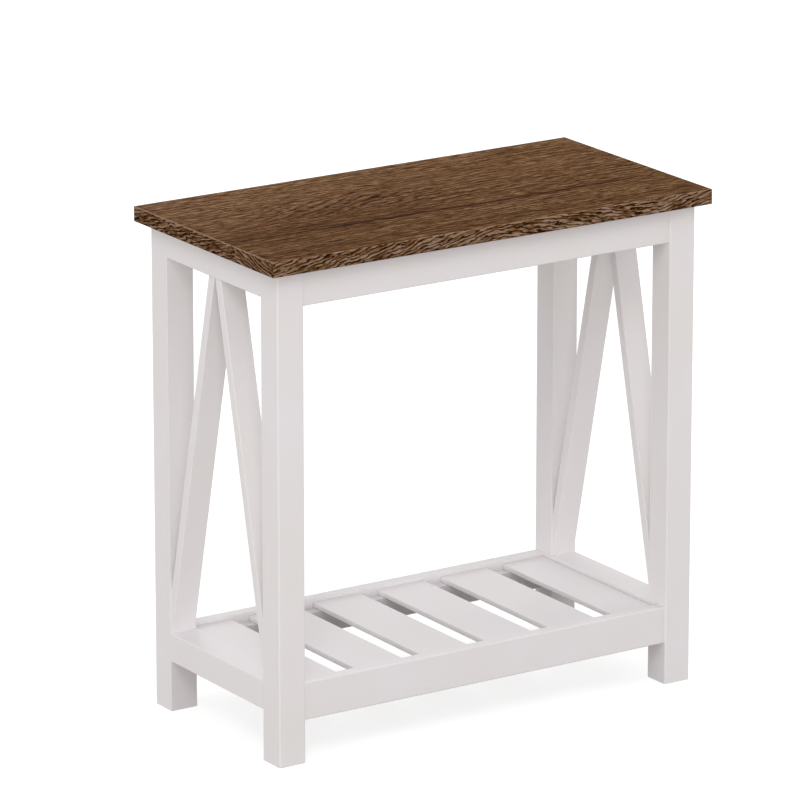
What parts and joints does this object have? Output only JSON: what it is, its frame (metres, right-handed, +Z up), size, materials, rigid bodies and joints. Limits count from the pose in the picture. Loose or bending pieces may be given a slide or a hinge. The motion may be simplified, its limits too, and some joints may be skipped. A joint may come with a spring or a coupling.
{
  "type": "end table with shelf",
  "caption": "Narrow end table with a dark wood-grain top, white square legs, inverted-V braces in the end frames and a low slatted shelf.",
  "frame": {"origin": "on the floor, under the middle of the top", "axes": "+X along the long side to the right, +Y towards the rear, +Z up"},
  "size_m": [0.6, 0.3, 0.6],
  "materials": {
    "dark_wood": "brown oak grain, satin, on a flat panel",
    "white_paint": "white satin paint on wood",
    "beech": "bare beech",
    "zinc_plate": "bright zinc-plated steel",
    "cast_zinc": "die-cast zinc"
  },
  "bodies": {
    "root": {"tabletop": "dark_wood", "front_left_leg": "white_paint", "front_right_leg": "white_paint", "rear_left_leg": "white_paint", "rear_right_leg": "white_paint", "left_front_brace": "white_paint", "left_rear_brace": "white_paint", "right_front_brace": "white_paint", "right_rear_brace": "white_paint", "left_top_rail": "white_paint", "right_top_rail": "white_paint", "left_lower_rail": "white_paint", "right_lower_rail": "white_paint", "front_apron": "white_paint", "rear_apron": "white_paint", "front_shelf_rail": "white_paint", "rear_shelf_rail": "white_paint", "front_shelf_cleat": "white_paint", "rear_shelf_cleat": "white_paint", "shelf_slat_1": "white_paint", "shelf_slat_2": "white_paint", "shelf_slat_3": "white_paint", "shelf_slat_4": "white_paint", "shelf_slat_5": "white_paint", "shelf_slat_6": "white_paint", "left_frame_dowels": "beech", "right_frame_dowels": "beech", "rail_dowels": "beech", "brace_dowels": "beech", "cam_bolts": "zinc_plate", "top_screws": "zinc_plate", "brace_screws": "zinc_plate", "cleat_screws": "zinc_plate", "slat_screws": "zinc_plate", "bracket_screws": "zinc_plate", "top_brackets": "zinc_plate", "cam_locks": "cast_zinc"}
  },
  "joints": []
}
